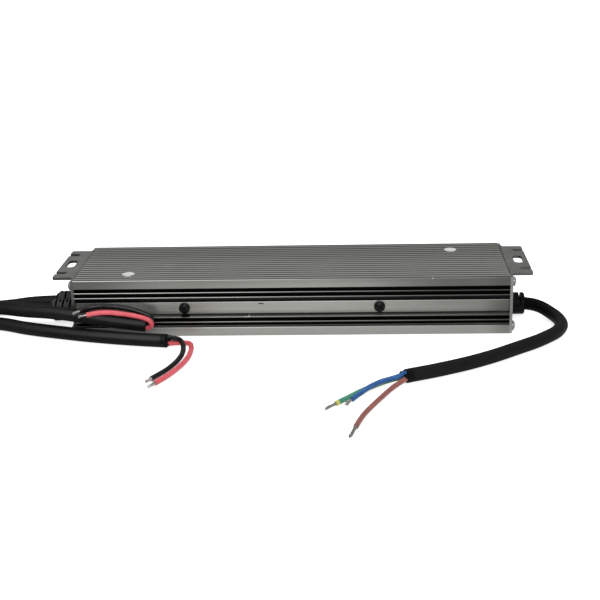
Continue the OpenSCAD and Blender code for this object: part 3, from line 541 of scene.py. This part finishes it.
# Each core: name, plastic, thickness, the node of its bare ends, length, then the bare
# end's length, thickness, twist and fray, and the route in millimetres.
core_facts = (
    ("input_core_brown", brown, 0.0026, "input_bare_ends", 0.062, 0.0115, 0.0018, 3.0, 0.0002,
     [(63.5, -104.3, 3.4), (60.6, -107.0, 3.1), (56.9, -111.6, 2.6), (53.3, -116.8, 2.1),
      (49.8, -123, 1.6), (44.5, -134, 1.3), (42.8, -137.9, 1.3), (39.9, -145.4, 1.3),
      (37.8, -152.2, 1.3), (36.1, -158.9, 1.3)]),
    ("input_core_blue", blue, 0.0026, "input_bare_ends", 0.040, 0.0052, 0.0013, 2.0, 0.0012,
     [(62.6, -102.5, 5.2), (59.9, -104.7, 5.1), (57.1, -107.7, 5), (53, -110.4, 4.8),
      (49, -112.5, 4.5), (45.5, -115.8, 4.3), (42, -119.8, 4), (39.1, -123.4, 3.3),
      (36.6, -126.3, 2.7), (34.2, -129.3, 2)]),
    ("input_core_earth", earth, 0.0026, "input_bare_ends", 0.048, 0.0080, 0.0016, 2.5, 0.0003,
     [(62.3, -101.9, 2.5), (60.3, -102.4, 2.4), (58.2, -102.6, 2.2), (53.2, -104.8, 1.8),
      (48.1, -108.1, 1.5), (43.1, -112.5, 1.3), (38.1, -117.8, 1.3), (34.2, -122.7, 1.3),
      (30.3, -127.6, 1.3), (26.5, -132.4, 1.3)]),
    ("output_a_core_red", red, 0.0028, "output_a_bare_ends", 0.074, 0.0064, 0.0019, 1.0, 0.0,
     [(-69.2, -51.5, 2.35), (-67, -51.4, 2.3), (-64.2, -50, 2), (-61.5, -48.9, 1.8),
      (-58.3, -48, 1.4), (-55.4, -49.2, 1.4), (-53.6, -54.4, 1.4), (-53, -62, 1.4),
      (-53.2, -69, 1.4), (-54.2, -76, 1.4), (-56.1, -83.6, 1.4), (-58.6, -91, 1.4),
      (-61.9, -98.8, 1.4), (-65.4, -105.5, 1.4)]),
    ("output_a_core_black", black, 0.0028, "output_a_bare_ends", 0.060, 0.0052, 0.0019, 1.0,
     0.0,
     [(-69, -49.9, 5.15), (-66.6, -50, 5.2), (-63.6, -50.8, 5.2), (-60.4, -52.6, 5.1),
      (-57.9, -57.2, 4.7), (-56.6, -63, 4), (-56.5, -69, 3.1), (-57.6, -75.1, 2.3),
      (-59.7, -81.6, 1.7), (-62.3, -87.9, 1.4), (-65.2, -94.0, 1.4), (-68.3, -99.8, 1.4)]),
    ("output_b_core_red", red, 0.0028, "output_b_bare_ends", 0.045, 0.0050, 0.0008, 2.0, 0.0009,
     [(-82.5, -39.6, 7.5), (-81, -39.7, 7.3), (-79.5, -39.9, 7.3), (-77.8, -40.4, 8.05),
      (-77, -40.8, 9.9), (-77.8, -40.9, 11.75), (-79.6, -40.85, 12.8), (-82.5, -40.8, 13.9),
      (-86, -40.8, 14.8), (-93.5, -40.8, 16.1),
      (-101, -40.8, 16.9), (-107, -41.2, 16.8), (-112.6, -42.6, 16.2)]),
    ("output_b_core_black", black, 0.0028, "output_b_bare_ends", 0.050, 0.0046, 0.0013, 2.5,
     0.0005,
     [(-82.9, -37.2, 9.4), (-81.4, -37.2, 9.1), (-79.7, -37.4, 9.1), (-77.9, -37.7, 9.85),
      (-77.2, -37.95, 11.6), (-78, -37.95, 13.3), (-80, -37.8, 14.4), (-82.8, -37.5, 15.5),
      (-86, -37.3, 16.7), (-93, -37.2, 18.4), (-100.3, -37.2, 19.3), (-106, -37.2, 19.4),
      (-110.5, -37.8, 19.1), (-114, -39.4, 18.7), (-116.6, -41.4, 18.2)]),
)
for (name, plastic, thick, bare_node, long, bare_long, bare_thick, twist, fray,
     route) in core_facts:
    core, middle = draw_line(name + "_insulation", route, thick, 4)
    core.data.materials.append(plastic)
    bpy.ops.object.shade_smooth_by_angle(angle=math.radians(50))
    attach(core, "root")
    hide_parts(name)
    name.split("_")[-1] + "_core"
    strands = strip_end(name + "_strands", middle, bare_long, bare_thick, twist, fray)
    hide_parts(bare_node)


# Inside, the board and its parts are sealed in. Silicone seals close both ends of the
# housing round the cables, whose cores run on to the edge of the board.
dark_silicone = coat(
    "dark_silicone", (0.045, 0.045, 0.047), (0.085, 0.085, 0.088), 0.6, 0, 300, 0.0001)[0]
finish_node(dark_silicone, "input_end_seal", "output_end_seal")

mains_cores, shader, place, shade = coat(
    "inner_mains_cores", (0.24, 0.078, 0.066), (0.36, 0.115, 0.095), 0.42, 0, 1400)
blue_from, green_from = -0.0046, -0.0004
shade = (place.axis("Y") > blue_from).blend(shade, (0.018, 0.10, 0.32))
shade = (place.axis("Y") > green_from).blend(shade, (0.06, 0.28, 0.16))
shade.into(shader, "Base Color")
finish_node(mains_cores, "input_lead_cores")

output_cores, shader, place, shade = coat(
    "inner_output_cores", (0.66, 0.080, 0.105), (0.80, 0.13, 0.155), 0.42, 0, 1400)
near_middle, between, apart = -0.0074, 0.0004, 0.0156
far_cable = (place.axis("Y") > between) * apart
from_middle = place.axis("Y") - far_cable - near_middle
(from_middle > 0).blend(shade, (0.006, 0.006, 0.007)).into(shader, "Base Color")
finish_node(output_cores, "output_lead_cores")


# The circuit boards are glass fibre with green lacquer over copper tracks. Their sawn
# edges show the pale fibre, and two black control chips are soldered on the upright one.
def board_finish(name, chip_face):
    """Green lacquer over tracks, sawn edges, and chips beyond a plane across Y."""
    made, shader, place, shade = coat(
        name, (0.012, 0.11, 0.035), (0.022, 0.16, 0.055), 0.34, 0, 900)
    to_edge = {"feature": "DISTANCE_TO_EDGE"}
    cells = place.node("TexVoronoi", to_edge, {"Vector": place, "Scale": 190})
    track = cells.ramp(0.16, 0.20)
    shade = track.blend(shade, (0.035, 0.24, 0.085))
    fibre = place.noise((60, 60, 5200))
    facing = place.node("TexCoord", {}, {}, 1)
    low_edge = (place.axis("Z") < 0.0069) * (abs(facing.axis("Y")) > 0.5)
    sawn = (abs(facing.axis("X")) > 0.5) + low_edge
    shade = (sawn * (fibre * 0.5 + 0.5)).blend(shade, (0.42, 0.38, 0.20))
    chips = place.axis("Y") > chip_face
    chips.blend(shade, (0.012, 0.012, 0.013)).into(shader, "Base Color")
    return made


finish_node(board_finish("green_board", 1.0), "circuit_board")
chip_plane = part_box("control_board")[1][1] - 0.0011
finish_node(board_finish("green_control_board", chip_plane), "control_board")


# Under the board lies a sheet of ivory insulating film. Grey silicone pads with a woven
# glass core stand between the power parts and the side wall.
film = coat("ivory_film", (0.62, 0.60, 0.50), (0.74, 0.72, 0.62), 0.4, 0, 240)[0]
finish_node(film, "insulation_sheet")

gap_pad, shader, place, shade = coat(
    "woven_silicone_pad", (0.36, 0.36, 0.37), (0.47, 0.47, 0.48), 0.7, 0, 800)
weave = place.axis("X").waves(0.0006) * place.axis("Z").waves(0.0006)
(weave * 0.5).blend(shade, (0.24, 0.24, 0.25)).into(shader, "Base Color")
relief(weave, shader, 0.00005)
finish_node(gap_pad, "insulation_pads")


# The mains parts are a fuse with nickel caps, a blue varistor dipped in epoxy, a filter
# choke of two enamelled windings on a green ring, and a yellow moulded capacitor.
def show_metal(mask, shade, shader):
    """Bare tinned metal where the mask is 1."""
    mask.blend(shade, (0.62, 0.61, 0.58)).into(shader, "Base Color")
    (mask * 0.9).into(shader, "Metallic")


fuse_body, shader, place, shade = coat(
    "white_fuse", (0.66, 0.65, 0.61), (0.78, 0.77, 0.73), 0.35)
fuse_low, fuse_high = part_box("fuse")
from_middle = abs(place.axis("Y") - (fuse_low[1] + fuse_high[1]) / 2)
show_metal(from_middle > (fuse_high[1] - fuse_low[1]) / 4, shade, shader)
finish_node(fuse_body, "fuse")

dipped, shader, place, shade = coat(
    "blue_dipped_epoxy", (0.030, 0.10, 0.33), (0.050, 0.15, 0.44), 0.25, 0, 260, 0.0002)
show_metal(place.axis("Z") < 0.0088, shade, shader)
finish_node(dipped, "surge_varistor")

green_ring = coat(
    "green_ring_core", (0.10, 0.17, 0.035), (0.15, 0.24, 0.055), 0.5, 0, 420, 0.0001)[0]
finish_node(green_ring, "filter_choke_core")


def copper_wire(name, ring_node, wire):
    """Enamelled copper in close turns, round a ring or, with no ring, along X."""
    made, shader, place, shade = coat(
        name, (0.33, 0.105, 0.030), (0.52, 0.19, 0.065), 0.3, 0.7, 900)
    if ring_node:
        low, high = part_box(ring_node)
        over = place.axis("Z") - (low[2] + high[2]) / 2
        turn = over.math("ARCTAN2", over, place.axis("Y") - (low[1] + high[1]) / 2)
        turns = turn.waves(wire / ((high[2] - low[2]) / 2))
    else:
        turns = place.axis("X").waves(wire)
    # Painted shade darkens the crevices between the turns.
    (1 - turns).blend(shade, (0.10, 0.028, 0.010)).into(shader, "Base Color")
    relief(turns, shader, 0.00025)
    return made


finish_node(copper_wire("filter_copper", "filter_choke_core", 0.0011), "filter_choke_windings")

yellow_case = coat("yellow_moulding", (0.66, 0.47, 0.045), (0.78, 0.58, 0.075), 0.45, 0, 700)[0]
finish_node(yellow_case, "filter_capacitor")


# The bridge rectifier, the transistors and the output rectifiers are black epoxy
# mouldings on tinned legs, which stand in the board.
def black_moulding(name, legs_top):
    """Black moulded epoxy down to a level, and tinned legs below it."""
    made, shader, place, shade = coat(
        name, (0.010, 0.010, 0.011), (0.024, 0.024, 0.025), 0.5, 0, 1800, 0.00004)
    show_metal(place.axis("Z") < legs_top, shade, shader)
    return made


finish_node(black_moulding("bridge_moulding", 0.0084), "bridge_rectifier")
finish_node(black_moulding("power_moulding", 0.0084), "power_transistors", "output_rectifiers")


# The boost choke and the transformer are ferrite cores with ground faces, round black
# bobbins. One is wound with copper wire, the other is wrapped in yellow tape.
ferrite, shader, place, shade = coat(
    "sintered_ferrite", (0.030, 0.030, 0.032), (0.062, 0.062, 0.065), 0.48, 0.1, 1500, 0.00005)
chipped = place.noise((260, 260, 260), 5).ramp(0.66, 0.72)
chipped.blend(shade, (0.11, 0.11, 0.115)).into(shader, "Base Color")
finish_node(ferrite, "boost_choke_core", "transformer_core")

bobbin = coat(
    "black_bobbin_nylon", (0.012, 0.012, 0.013), (0.026, 0.026, 0.028), 0.42, 0, 1100)[0]
finish_node(bobbin, "boost_choke_bobbin", "transformer_bobbin")
finish_node(copper_wire("boost_copper", "", 0.0008), "boost_choke_winding")

tape, shader, place, shade = coat(
    "yellow_polyester_tape", (0.62, 0.45, 0.060), (0.74, 0.56, 0.095), 0.28, 0, 300, 0.0001)
lap = place.axis("X").waves(0.009).ramp(0.05, 0.12)
(1 - lap).blend(shade, (0.42, 0.29, 0.035)).into(shader, "Base Color")
relief(lap, shader, 0.0001)
finish_node(tape, "transformer_winding")


# The electrolytic capacitors are aluminium cans in dark shrunk sleeves. The sleeve stops
# short of the can's end, where the scored metal shows.
def can_finish(name, can_axis, end):
    """A dark glossy sleeve, with bare metal on faces that look along an axis past end."""
    made, shader, place, shade = coat(
        name, (0.010, 0.014, 0.045), (0.020, 0.026, 0.075), 0.22, 0, 320)
    facing = place.node("TexCoord", {}, {}, 1)
    bare = (abs(facing.axis(can_axis)) > 0.9) * (place.axis(can_axis) > end)
    show_metal(bare, shade, shader)
    return made


bulk_end = sum(corner[0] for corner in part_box("bulk_capacitors")) / 2
finish_node(can_finish("bulk_sleeve", "X", bulk_end), "bulk_capacitors")
can_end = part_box("output_capacitors")[1][2] - 0.001
finish_node(can_finish("output_sleeve", "Z", can_end), "output_capacitors")


# The output choke is a ring of pressed iron powder, painted yellow, with one winding of
# thick enamelled copper.
powder = coat(
    "yellow_powder_core", (0.55, 0.44, 0.050), (0.68, 0.56, 0.085), 0.5, 0, 700, 0.0001)[0]
finish_node(powder, "output_choke_core")
finish_node(copper_wire("output_copper", "output_choke_core", 0.0017), "output_choke_winding")
